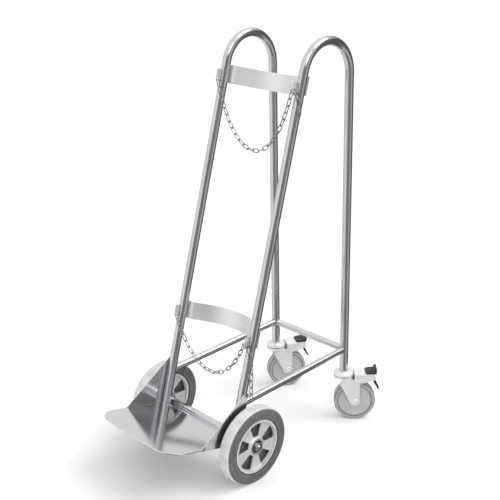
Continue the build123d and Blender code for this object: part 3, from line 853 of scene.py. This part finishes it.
# A ray's direction round the room, in turns from -X, picks the brightness of the wall it meets.
sky_place = sky.nodes.new("ShaderNodeTexCoord")
sky_parts = sky.nodes.new("ShaderNodeSeparateXYZ")
sky.links.new(sky_place.outputs["Generated"], sky_parts.inputs[0])
azimuth = sky.nodes.new("ShaderNodeMath")
azimuth.operation = "ARCTAN2"
sky.links.new(sky_parts.outputs["Y"], azimuth.inputs[0])
sky.links.new(sky_parts.outputs["X"], azimuth.inputs[1])
turns = sky.nodes.new("ShaderNodeMapRange")
turns.inputs["From Min"].default_value = -math.pi
turns.inputs["From Max"].default_value = math.pi
sky.links.new(azimuth.outputs[0], turns.inputs["Value"])
bands = sky.nodes.new("ShaderNodeValToRGB")
sky.links.new(turns.outputs["Result"], bands.inputs["Fac"])
ramp = bands.color_ramp
ramp.interpolation = "B_SPLINE"
pale_wall = [(0.0, 0.75), (0.10, 0.8)]
front_window = [(0.19, 1.0), (0.27, 1.0)]
grey_wall = [(0.31, 0.32), (0.36, 0.2), (0.48, 0.22)]
side_panel = [(0.53, 0.6), (0.57, 0.6)]
dark_wall = [(0.62, 0.08), (0.80, 0.05)]
back_window = [(0.86, 0.95)]
closing = (1.0, 0.75)
ramp.elements[1].position, ramp.elements[1].color = closing[0], (closing[1], closing[1], closing[1], 1)
first = pale_wall[0]
ramp.elements[0].position, ramp.elements[0].color = first[0], (first[1], first[1], first[1], 1)
for position, value in pale_wall[1:] + front_window + grey_wall + side_panel + dark_wall + back_window:
    ramp.elements.new(position).color = (value, value, value, 1)
# The walls fade into a white ceiling.
height = sky.nodes.new("ShaderNodeMapRange")
height.inputs["From Min"].default_value = 0.35
height.inputs["From Max"].default_value = 0.8
sky.links.new(sky_parts.outputs["Z"], height.inputs["Value"])
whiten = sky.nodes.new("ShaderNodeMix")
whiten.data_type = "RGBA"
whiten.inputs[7].default_value = (1, 1, 1, 1)
sky.links.new(height.outputs["Result"], whiten.inputs[0])
sky.links.new(bands.outputs["Color"], whiten.inputs[6])
# Matte surfaces are lit by an even room, only reflections see the walls, and the backdrop is white.
ray = sky.nodes.new("ShaderNodeLightPath")
even = sky.nodes.new("ShaderNodeMix")
even.data_type = "RGBA"
even.inputs[6].default_value = (0.88, 0.88, 0.88, 1)
sky.links.new(ray.outputs["Is Glossy Ray"], even.inputs[0])
sky.links.new(whiten.outputs[2], even.inputs[7])
seen = sky.nodes.new("ShaderNodeMix")
seen.data_type = "RGBA"
seen.inputs[7].default_value = (1, 1, 1, 1)
sky.links.new(ray.outputs["Is Camera Ray"], seen.inputs[0])
sky.links.new(even.outputs[2], seen.inputs[6])
room = sky.nodes["Background"]
room.inputs["Strength"].default_value = 1.0
sky.links.new(seen.outputs[2], room.inputs["Color"])


def soft_light(name, place, size, power):
    """A rectangular light aimed at the middle of the object."""
    data = bpy.data.lights.new(name, "AREA")
    data.shape = "RECTANGLE"
    data.size, data.size_y = size
    data.energy = power
    lamp = bpy.data.objects.new(name, data)
    bpy.context.collection.objects.link(lamp)
    lamp.location = place
    lamp.rotation_mode = "QUATERNION"
    lamp.rotation_quaternion = (Vector((0, 0, 0.5)) - Vector(place)).to_track_quat("-Z", "Y")


soft_light("key", (2.2, -1.2, 3.2), (1.6, 1.6), 18)
sun = bpy.data.lights.new("window", "SUN")
sun.energy = 1.1
sun.angle = math.radians(38)
window = bpy.data.objects.new("window", sun)
bpy.context.collection.objects.link(window)
window.rotation_mode = "QUATERNION"
window.rotation_quaternion = Vector((-0.62, -0.50, -1.15)).to_track_quat("-Z", "Y")

camera_data = bpy.data.cameras.new("camera")
camera_data.lens = 63.6
camera_data.sensor_width = 36
camera_data.clip_start = 0.05
camera = bpy.data.objects.new("camera", camera_data)
bpy.context.collection.objects.link(camera)
camera.location = (1.6501, -1.4653, 1.4173)
camera.rotation_mode = "QUATERNION"
camera.rotation_quaternion = Vector((-0.66741, 0.66280, -0.33951)).to_track_quat("-Z", "Y")
bpy.context.scene.camera = camera
bpy.context.scene.view_settings.view_transform = "Standard"
